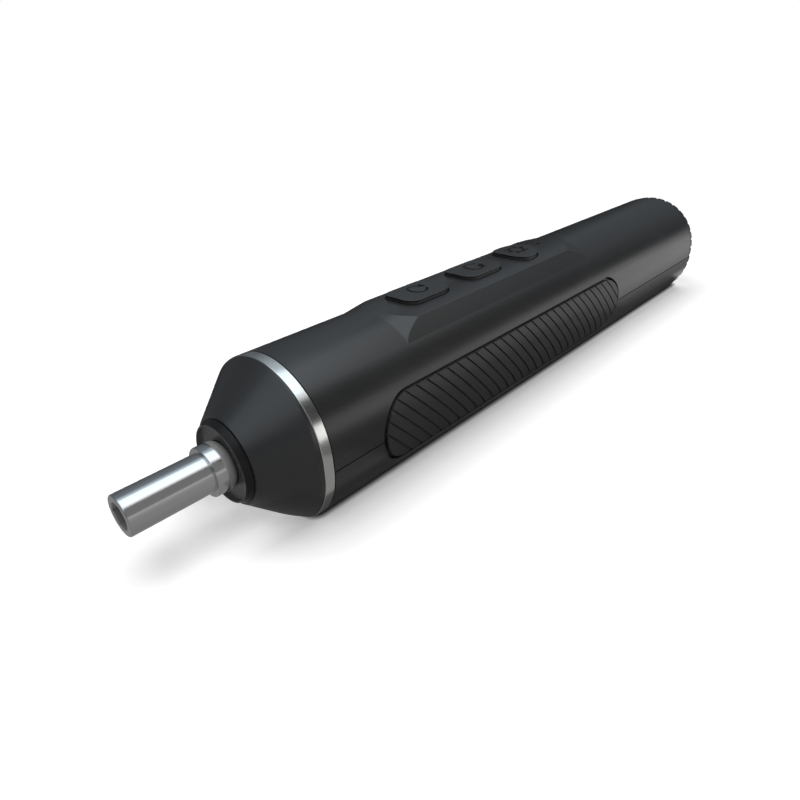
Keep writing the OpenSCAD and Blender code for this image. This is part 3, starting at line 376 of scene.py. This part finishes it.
# Level cards just over the floor, which the sides and the underside of the tool mirror.
# TOOL_NEAR lies just outside the tool's near side.
CARD_Z = FLOOR_DEPTH + 0.6
CARD_END = RIGHT - 10
TOOL_NEAR = -25
sheet("floor_left", -700, 30, NEAR, TOOL_NEAR, CARD_Z, (0.45, 0.3))
sheet("floor_middle", 30, 190, NEAR, TOOL_NEAR, CARD_Z, (0.4, 0.12))
sheet("floor_light", 190, CARD_END, NEAR + 10, -42, CARD_Z, (1.2, 1.1))
sheet("floor_edge", 190, CARD_END, -42, TOOL_NEAR, CARD_Z, (0.4, 0.2))
# This dark card lies where the floor is in the tool's contact shadow, so the tool mirrors painted
# shade there.
sheet("floor_contact_shade", 0, 250, TOOL_NEAR, -8, CARD_Z, (0.1, 0.02))
sheet("floor_socket", -700, -12, TOOL_NEAR, -2, CARD_Z, (0.3, 0.25))
sheet("floor_nose", -12, 0, TOOL_NEAR, -2, CARD_Z, (0.2, 0.14))
sheet("floor_far_nose", -700, -8, -2, 500, CARD_Z, (0.28, 0.28))
sheet("floor_back", -8, CARD_END, 14, 500, CARD_Z, (0.05, 0.05))


# shader groups
GRAIN, GRAIN_DEPTH, GRAIN_STRENGTH = 5200.0, 0.000012, 0.3
RINGS, RING_DEPTH, RING_STRENGTH = 6500.0, 0.000003, 0.25
CLOUDS = 45.0


def new_group(name, sockets):
    tree = bpy.data.node_groups.new(name, "ShaderNodeTree")
    for label, kind, way, value in sockets:
        s = tree.interface.new_socket(label, in_out=way, socket_type=kind)
        if value is not None:
            s.default_value = value
    return tree, tree.nodes.new("NodeGroupInput"), tree.nodes.new("NodeGroupOutput")


def add_group(tree, group):
    node = tree.nodes.new("ShaderNodeGroup")
    node.node_tree = group
    return node


def line_distance(tree, z):
    """The offset from the line along x at height z, in metres, and the distance from that
    line, in millimetres."""
    co = tree.nodes.new("ShaderNodeTexCoord")
    away = vector_math(tree, "SUBTRACT", co, "Object", place(0, 0, z))
    flat = vector_math(tree, "MULTIPLY", away, 0, (0, 1 / MM, 1 / MM))
    return away, vector_math(tree, "LENGTH", flat, 0)


def make_moulded_skin():
    """Fine spark-eroded grain of a moulding, and faint cloudy handling marks."""
    tree, gin, gout = new_group("moulded_skin", [
        ("Grain Scale", "NodeSocketFloat", "INPUT", GRAIN),
        ("Cloud Scale", "NodeSocketFloat", "INPUT", CLOUDS),
        ("Height", "NodeSocketFloat", "OUTPUT", None),
        ("Cloud", "NodeSocketFloat", "OUTPUT", None)])
    co = tree.nodes.new("ShaderNodeTexCoord")
    grain = tree.nodes.new("ShaderNodeTexNoise")
    grain.inputs["Detail"].default_value = 2.0
    grain.inputs["Roughness"].default_value = 0.55
    cloud = tree.nodes.new("ShaderNodeTexNoise")
    cloud.inputs["Detail"].default_value = 3.0
    wire(tree, co, "Object", grain, "Vector")
    wire(tree, co, "Object", cloud, "Vector")
    wire(tree, gin, "Grain Scale", grain, "Scale")
    wire(tree, gin, "Cloud Scale", cloud, "Scale")
    wire(tree, grain, "Fac", gout, "Height")
    wire(tree, cloud, "Fac", gout, "Cloud")
    return tree


def make_turned_rings():
    """Fine rings round the tool axis, left by the lathe tool."""
    tree, gin, gout = new_group("turned_rings", [
        ("Ring Scale", "NodeSocketFloat", "INPUT", RINGS),
        ("Height", "NodeSocketFloat", "OUTPUT", None),
        ("Streak", "NodeSocketFloat", "OUTPUT", None)])
    co = tree.nodes.new("ShaderNodeTexCoord")
    part = tree.nodes.new("ShaderNodeSeparateXYZ")
    noise = tree.nodes.new("ShaderNodeTexNoise")
    noise.noise_dimensions = "1D"
    noise.inputs["Scale"].default_value = 1.0
    noise.inputs["Detail"].default_value = 2.0
    wire(tree, co, "Object", part, 0)
    scale = math_node(tree, "MULTIPLY", (part, "X"), (gin, "Ring Scale"))
    wire(tree, scale, 0, noise, "W")
    wire(tree, noise, "Fac", gout, "Height")
    wire(tree, noise, "Fac", gout, "Streak")
    return tree


def make_round_zones():
    """Distance from the tool axis and place along it, in millimetres."""
    tree, _, gout = new_group("round_zones", [
        ("Radius", "NodeSocketFloat", "OUTPUT", None),
        ("Along", "NodeSocketFloat", "OUTPUT", None)])
    away, radius = line_distance(tree, 0)
    wire(tree, radius, "Value", gout, "Radius")
    part = tree.nodes.new("ShaderNodeSeparateXYZ")
    wire(tree, away, 0, part, 0)
    along = math_node(tree, "DIVIDE", (part, "X"), MM)
    wire(tree, along, 0, gout, "Along")
    return tree


MOULDED_SKIN = make_moulded_skin()
TURNED_RINGS = make_turned_rings()
ROUND_ZONES = make_round_zones()

# materials
ROUGH_SWING, TONE_SWING = 0.04, 0.15


def parts_of(mat):
    """A material's node tree and its Principled shader."""
    tree = mat.node_tree
    return tree, next(n for n in tree.nodes if n.type == "BSDF_PRINCIPLED")


def principled(name, color, rough, metallic=0.0, spec=0.5):
    mat = bpy.data.materials.new(name)
    mat.use_nodes = True
    tree, bsdf = parts_of(mat)
    bsdf.inputs["Base Color"].default_value = (*color, 1)
    bsdf.inputs["Roughness"].default_value = rough
    bsdf.inputs["Metallic"].default_value = metallic
    bsdf.inputs["Specular IOR Level"].default_value = spec
    return mat, tree, bsdf


def vary_roughness(tree, bsdf, src, out, rough):
    r = ramp(tree, src, out, rough - ROUGH_SWING, rough + ROUGH_SWING)
    wire(tree, r, "Result", bsdf, "Roughness")


def bump(tree, bsdf, src, out, strength, distance):
    b = tree.nodes.new("ShaderNodeBump")
    b.inputs["Strength"].default_value = strength
    b.inputs["Distance"].default_value = distance
    wire(tree, src, out, b, "Height")
    wire(tree, b, "Normal", bsdf, "Normal")


def moulded(name, color, rough, grain=GRAIN, depth=GRAIN_DEPTH, spec=0.5):
    """Moulded plastic with a fine grain."""
    mat, tree, bsdf = principled(name, color, rough, 0.0, spec)
    skin = add_group(tree, MOULDED_SKIN)
    skin.inputs["Grain Scale"].default_value = grain
    vary_roughness(tree, bsdf, skin, "Cloud", rough)
    tone = tree.nodes.new("ShaderNodeMix")
    tone.data_type = "RGBA"
    tone.inputs["A"].default_value = (*(c * (1 - TONE_SWING) for c in color), 1)
    tone.inputs["B"].default_value = (*(c * (1 + TONE_SWING) for c in color), 1)
    wire(tree, skin, "Cloud", tone, "Factor")
    wire(tree, tone, "Result", bsdf, "Base Color")
    bump(tree, bsdf, skin, "Height", GRAIN_STRENGTH, depth)
    return mat


def turned_steel(name, color, rough, scale=RINGS):
    """Metal with fine rings from the lathe."""
    mat, tree, bsdf = principled(name, color, rough, 1.0)
    rings = add_group(tree, TURNED_RINGS)
    rings.inputs["Ring Scale"].default_value = scale
    vary_roughness(tree, bsdf, rings, "Streak", rough)
    bump(tree, bsdf, rings, "Height", RING_STRENGTH, RING_DEPTH)
    return mat


def zone(tree, output, span, lo, hi):
    """Goes from lo to hi where the radius or the place along the axis crosses the span."""
    return rise(tree, add_group(tree, ROUND_ZONES), output, span, lo, hi)


HOLE_EDGE = (3.75, 3.85)
# The first span is where the shoulder's grey, less metallic painted reflection takes over from
# bright steel; the second is where it is blasted dull.
SHOULDER_SHEEN_FADE = (SHOULDER_X - 1.0, SHOULDER_X - 0.1)
SHOULDER_DULL = (SHOULDER_X - 0.6, SHOULDER_X + 0.8)
DISC_EDGE = (10.95, 11.05)


def socket_finish(mat):
    """Dull broached hole, and behind the collar a shoulder blasted dull, whose grey, less metallic
    colour catches the lamps as painted reflection in place of the dark surroundings that bright
    steel would mirror there.
    """
    tree, bsdf = parts_of(mat)
    for name, hole, bright, painted_sheen in (("Base Color", 0.16, 0.62, 0.24),
                                         ("Metallic", 0.1, 1.0, 0.35)):
        inner = zone(tree, "Radius", HOLE_EDGE, hole, bright)
        back = zone(tree, "Along", SHOULDER_SHEEN_FADE, bright, painted_sheen)
        level = math_node(tree, "MINIMUM", (inner, "Result"), (back, "Result"))
        wire(tree, level, 0, bsdf, name)
    rings = bsdf.inputs["Roughness"].links[0].from_node
    dull = zone(tree, "Along", SHOULDER_DULL, 0.0, 0.5)
    rough = math_node(tree, "MAXIMUM", (rings, "Result"), (dull, "Result"))
    wire(tree, rough, 0, bsdf, "Roughness")


def bezel_finish(mat):
    """Deep black rim round a lighter disc."""
    tree, bsdf = parts_of(mat)
    for name, disc, rim in (("Specular IOR Level", 0.5, 0.12), ("Base Color", 0.045, 0.008)):
        wire(tree, zone(tree, "Radius", DISC_EDGE, disc, rim), "Result", bsdf, name)


# how far below a key's top its band of painted shade starts and ends, each as a soft step
SIGN_STEP, WALL_STEP = (0.22, 0.08), (0.55, 0.4)


def key_painted_shade(mat):
    """Painted shade: the sunk signs and the upper sides of a key are darker and less shiny than
    its top.
    """
    tree, bsdf = parts_of(mat)
    _, reach = line_distance(tree, CROWN_TOP - CROWN_R)
    top = CROWN_R + KEY_RISE
    for name, shade_level, full in (("Base Color", 0.003, 0.0135), ("Specular IOR Level", 0.15, 0.5)):
        upper = rise(tree, reach, "Value", [top - step for step in SIGN_STEP], shade_level, full)
        lower = rise(tree, reach, "Value", [top - step for step in WALL_STEP], full, shade_level)
        tone = math_node(tree, "MAXIMUM", (upper, "Result"), (lower, "Result"))
        wire(tree, tone, 0, bsdf, name)


BODY_BLACK = moulded("body_black", (0.0130, 0.0132, 0.0136), 0.29)
NOSE_BLACK = moulded("nose_black", (0.0128, 0.0131, 0.0140), 0.31)
BEZEL_BLACK = moulded("bezel_black", (0.0120, 0.0122, 0.0128), 0.26)
CAP_BLACK = moulded("cap_black", (0.0130, 0.0130, 0.0136), 0.4)
KEY_BLACK = moulded("key_black", (0.0135, 0.0135, 0.0135), 0.4)
GRIP_RUBBER = moulded("grip_rubber", (0.0150, 0.0150, 0.0152), 0.5, 4200.0, 0.00002)
SOCKET_STEEL = turned_steel("socket_steel", (0.62, 0.62, 0.60), 0.15)
RING_STEEL = turned_steel("ring_steel", (0.66, 0.66, 0.64), 0.2, 9000.0)
PLAIN_STEEL = turned_steel("plain_steel", (0.5, 0.5, 0.5), 0.35)
INNER_PLASTIC = moulded("inner_plastic", (0.05, 0.05, 0.055), 0.5)
BOARD_GREEN = moulded("board_green", (0.02, 0.1, 0.04), 0.4)
CELL_BLUE = moulded("cell_blue", (0.03, 0.1, 0.3), 0.35)
BRONZE = turned_steel("bronze", (0.6, 0.4, 0.2), 0.35)
COPPER = turned_steel("copper", (0.75, 0.35, 0.2), 0.35)
LEAD_RED = moulded("lead_red", (0.4, 0.02, 0.02), 0.4)
LENS_GREY = moulded("lens_grey", (0.004, 0.004, 0.004), 0.5, spec=0.2)
GEAR_NYLON = moulded("gear_nylon", (0.7, 0.68, 0.6), 0.4)
key_painted_shade(KEY_BLACK)
socket_finish(SOCKET_STEEL)
bezel_finish(BEZEL_BLACK)

# modelling helpers
SMOOTH_BELOW, SHARP_ABOVE, FLAT_BELOW = math.radians(30), math.radians(28), math.radians(0.6)
MERGE_GAP = 0.000002
TURNED_STEPS, CUTTER_STEPS = 144, 96


def pick(obj):
    bpy.ops.object.select_all(action="DESELECT")
    obj.select_set(True)
    bpy.context.view_layer.objects.active = obj


def edit(obj):
    pick(obj)
    bpy.ops.object.mode_set(mode="EDIT")


def leave():
    bpy.ops.object.mode_set(mode="OBJECT")


def merge_doubles():
    bpy.ops.mesh.select_all(action="SELECT")
    bpy.ops.mesh.remove_doubles(threshold=MERGE_GAP)
    bpy.ops.mesh.select_all(action="SELECT")


def rounded(points, radii, steps):
    """The outline through points, with its corners rounded by the given radii."""
    points = [Vector((*p, 0)) for p in points]
    out = [points[0]]
    for i in range(1, len(points) - 1):
        p, r = points[i], radii[i]
        if r <= 0:
            out.append(p)
            continue
        a = (points[i - 1] - p).normalized()
        b = (points[i + 1] - p).normalized()
        half = a.angle(b) / 2
        run = r / math.tan(half)
        centre = p + (a + b).normalized() * (r / math.sin(half))
        start, end = p + a * run - centre, p + b * run - centre
        total = start.angle(end)
        for k in range(steps + 1):
            t = k / steps
            way = (start * math.sin((1 - t) * total) + end * math.sin(t * total)) / math.sin(total)
            out.append(centre + way)
    out.append(points[-1])
    return [(p.x, p.y) for p in out]


def draw_line(name, points):
    """Draws a line by pulling one vertex out of the last, and stays in edit mode."""
    obj = new_plane(name, MM)
    obj.data.name = name
    bpy.ops.object.mode_set(mode="EDIT")
    bpy.ops.mesh.select_all(action="SELECT")
    bpy.ops.mesh.merge(type="CENTER")
    bpy.ops.transform.translate(value=points[0])
    for a, b in zip(points, points[1:]):
        bpy.ops.mesh.extrude_region_move(TRANSFORM_OT_translate={"value": b - a})
    return obj


def turn_on_axis(name, profile, steps=TURNED_STEPS):
    """Spins a profile of (x, radius) round the tool axis, as on a lathe."""
    obj = draw_line(name, [place(p[0], 0, p[1]) for p in profile])
    bpy.ops.mesh.select_all(action="SELECT")
    bpy.ops.mesh.spin(steps=steps, angle=2 * math.pi, center=place(0, 0, 0), axis=(1, 0, 0))
    merge_doubles()
    bpy.ops.mesh.normals_make_consistent(inside=False)
    leave()
    return obj


def smooth(obj):
    pick(obj)
    bpy.ops.object.shade_smooth_by_angle(angle=SMOOTH_BELOW)


def boolean(obj, tool, kind):
    mod = obj.modifiers.new("shape", "BOOLEAN")
    mod.operation = kind
    mod.solver = "EXACT"
    mod.object = tool
    pick(obj)
    bpy.ops.object.modifier_apply(modifier=mod.name)
    bpy.data.objects.remove(tool, do_unlink=True)


def prism(name, sides, radius, x0, x1, turn=0.0):
    """A bar with that many flats, along the tool axis."""
    bpy.ops.object.select_all(action="DESELECT")
    bpy.ops.mesh.primitive_cylinder_add(vertices=sides, radius=radius * MM, depth=(x1 - x0) * MM,
                                        location=(0, 0, 0), rotation=(0, 0, turn))
    obj = bpy.context.object
    obj.name = name
    bpy.ops.object.transform_apply(location=False, rotation=True, scale=False)
    obj.rotation_euler = (0, math.pi / 2, 0)
    obj.location = place((x0 + x1) / 2, 0, 0)
    bpy.ops.object.transform_apply(location=True, rotation=True, scale=False)
    return obj


def keep_edges(mesh, keep):
    """Deselects the edges whose middle keep() turns down."""
    for e in mesh.edges:
        if e.select:
            mid = (mesh.vertices[e.vertices[0]].co + mesh.vertices[e.vertices[1]].co) / 2
            local = Vector(((mid.x - RING_X) / MM, mid.y / MM, (mid.z - AXIS_Z) / MM))
            e.select = bool(keep(local))


def soften(node, name, width, mat, segments=3, keep=None):
    """A copy of a solid with its sharp edges, or those that keep() picks, rounded."""
    mesh = nodes[node].data.copy()
    obj = bpy.data.objects.new(name, mesh)
    mesh.name = name
    scene.collection.objects.link(obj)
    edit(obj)
    merge_doubles()
    bpy.ops.mesh.dissolve_limited(angle_limit=FLAT_BELOW, use_dissolve_boundaries=False)
    bpy.ops.mesh.select_mode(type="EDGE")
    bpy.ops.mesh.select_all(action="DESELECT")
    bpy.ops.mesh.edges_select_sharp(sharpness=SHARP_ABOVE)
    leave()
    if keep:
        keep_edges(mesh, keep)
    edit(obj)
    bpy.ops.mesh.bevel(offset=width * MM, offset_type="OFFSET", segments=segments, profile=0.5,
                       affect="EDGES", clamp_overlap=True)
    bpy.ops.mesh.select_mode(type="VERT")
    leave()
    mesh.materials.clear()
    mesh.materials.append(mat)
    smooth(obj)
    mod = obj.modifiers.new("even_light", "WEIGHTED_NORMAL")
    mod.keep_sharp = True
    bpy.ops.object.modifier_apply(modifier=mod.name)
    return obj


def stand_in(obj, mat, body, *names):
    obj.data.materials.clear()
    obj.data.materials.append(mat)
    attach(obj, body)
    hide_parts(*names)


def round_over(node, name, width, mat, **more):
    obj = soften(node, name, width, mat, **more)
    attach(obj, "housing")
    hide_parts(node)


def dress(mat, *names):
    for name in names:
        mesh = nodes[name].data
        mesh.materials.clear()
        mesh.materials.append(mat)


# bit socket: tube, collar with a round shoulder, journal with a clip groove, driving square
def round_bore(name, start, end, radius):
    """A round cutter on the tool axis, from start to end behind the socket's mouth."""
    x0, x1 = TIP + start, TIP + end
    return turn_on_axis(name, [(x0, 0), (x0, radius), (x1, radius), (x1, 0)], CUTTER_STEPS)


def shoulder_line(steps=16):
    """The collar's rounding, from its full radius down to the journal."""
    centre_r = COLLAR_R - COLLAR_ROUND
    start, end = math.pi / 2, math.asin((JOURNAL_R - centre_r) / COLLAR_ROUND)
    line = []
    for k in range(1, steps + 1):
        a = start + (end - start) * k / steps
        line.append((SHOULDER_X + COLLAR_ROUND * math.cos(a),
                     centre_r + COLLAR_ROUND * math.sin(a)))
    return line


def make_bit_socket():
    front = [(TIP, 0), (TIP, TUBE_R), (COLLAR_X, TUBE_R), (COLLAR_X, COLLAR_R),
             (SHOULDER_X, COLLAR_R)]
    line = rounded(front, [0, 0.45, 0.12, 0.4, 0], 5) + shoulder_line()
    groove_r, groove_end = JOURNAL_R - CLIP_DEEP, CLIP_X + CLIP_WIDE
    line += [(CLIP_X, JOURNAL_R), (CLIP_X, groove_r), (groove_end, groove_r),
             (groove_end, JOURNAL_R), (JOURNAL_END, JOURNAL_R), (JOURNAL_END, 0)]
    obj = turn_on_axis("bit_socket", line)
    half = SQUARE / 2 * math.sqrt(2)
    boolean(obj, prism("driving_square", 4, half, SQUARE_X, SPINDLE_END, math.pi / 4), "UNION")
    lead_in = [(TIP - 1, 0), (TIP - 1, HEX_R + 1), (TIP + 0.2, HEX_R - 0.2), (TIP + 0.25, 0)]
    boolean(obj, prism("hexagon", 6, HEX_R, TIP - 1, TIP + HEX_DEEP), "DIFFERENCE")
    boolean(obj, turn_on_axis("lead_in", lead_in, CUTTER_STEPS), "DIFFERENCE")
    boolean(obj, round_bore("spring_groove", *SPRING_GROOVE), "DIFFERENCE")
    boolean(obj, round_bore("magnet_bore", *MAGNET_BORE), "DIFFERENCE")
    smooth(obj)
    return obj


# bezel: a rim with a sunk disc round the collar, and a sleeve that seats in the nose cone
BEZEL_SINK, BEZEL_GAP = 1.1, 0.65
SLEEVE_LEN, SLEEVE_R, SLEEVE_BORE, SLEEVE_FRONT = 3.8, 11.2, 5.6, -12.8
RIM_IN, RIM_EDGE, RIM_OUT, DISC_R = 10.7, 11.1, 12.1, 10.4


def make_bezel():
    seat = NOSE_LEN - SLEEVE_LEN
    floor_x = RIM + BEZEL_SINK
    hole = COLLAR_R - BEZEL_GAP
    outline = [(-seat, SLEEVE_BORE), (SLEEVE_FRONT, SLEEVE_BORE), (SLEEVE_FRONT, hole),
               (floor_x, hole), (floor_x, DISC_R), (RIM, RIM_IN), (RIM, RIM_EDGE),
               (-NOSE_LEN, RIM_OUT), (-NOSE_LEN, SLEEVE_R), (-seat, SLEEVE_R),
               (-seat, SLEEVE_BORE)]
    line = rounded(outline, [0, 0, 0, 0.2, 0.4, 0.1, 0.12, 0.15, 0, 0, 0], 4)
    obj = turn_on_axis("nose_rim", line)
    smooth(obj)
    return obj


stand_in(make_bezel(), BEZEL_BLACK, "housing", "nose_bezel")
stand_in(make_bit_socket(), SOCKET_STEEL, "spindle", "output_spindle")

dress(BODY_BLACK, "upper_shell", "lower_shell")
dress(NOSE_BLACK, "nose_cone")
dress(BEZEL_BLACK, "nose_bezel")
dress(CAP_BLACK, "rear_cap")
dress(KEY_BLACK, "forward_button", "reverse_button", "mode_button")
dress(GRIP_RUBBER, "left_grip", "right_grip")
dress(SOCKET_STEEL, "output_spindle")
dress(RING_STEEL, "trim_ring")
dress(PLAIN_STEEL, "socket_magnet", "bit_ring", "spindle_clip", "output_pins", "inner_pins",
      "gearbox_screws", "motor_screws", "board_screws", "charge_screws", "case_screws",
      "charge_socket", "motor_plate", "motor_can", "output_carrier", "inner_carrier",
      "planet_out_a", "planet_out_b", "planet_out_c", "motor_magnets", "cell_tabs", "cell_strap")
dress(GEAR_NYLON, "planet_in_a", "planet_in_b", "planet_in_c")
dress(BRONZE, "front_bushing", "motor_pinion", "motor_terminals")
dress(COPPER, "motor_rotor")
dress(INNER_PLASTIC, "forward_plunger", "reverse_plunger", "mode_plunger", "key_switches",
      "battery_cradle", "motor_end_cap", "ring_gear", "board_parts")
dress(BOARD_GREEN, "control_board", "charge_board")
dress(CELL_BLUE, "battery_left", "battery_right")
dress(LEAD_RED, "motor_leads", "charge_leads")
dress(LENS_GREY, "indicator_lens", "indicator_led")


def behind_rim(p):
    """Edges of the cone that don't meet the bezel."""
    return p.x > 1 - NOSE_LEN


round_over("trim_ring", "trim_band", 0.25, RING_STEEL)
round_over("nose_cone", "nose_shell", 0.3, NOSE_BLACK, keep=behind_rim)
round_over("rear_cap", "end_cap", 0.3, CAP_BLACK)
round_over("left_grip", "grip_left", 0.12, GRIP_RUBBER, segments=2)
round_over("right_grip", "grip_right", 0.12, GRIP_RUBBER, segments=2)

KEY_ROUND = 0.35
KEY_SIDE_Z, SIGN_R = 22.3, 5.2


def top_outline(key):
    """Tells the outline of a key's top from its sign and from what lies below the shell."""
    x = ((low(key).x + high(key).x) / 2 - RING_X) / MM
    return lambda p: p.z > KEY_SIDE_Z and math.hypot(p.x - x, p.y) > SIGN_R


for key, name, body in (("forward_button", "key_forward", "forward_key"),
                        ("reverse_button", "key_reverse", "reverse_key"),
                        ("mode_button", "key_mode", "mode_key")):
    cap = soften(key, name, KEY_ROUND, KEY_BLACK, keep=top_outline(key))
    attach(cap, body)
    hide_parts(key)
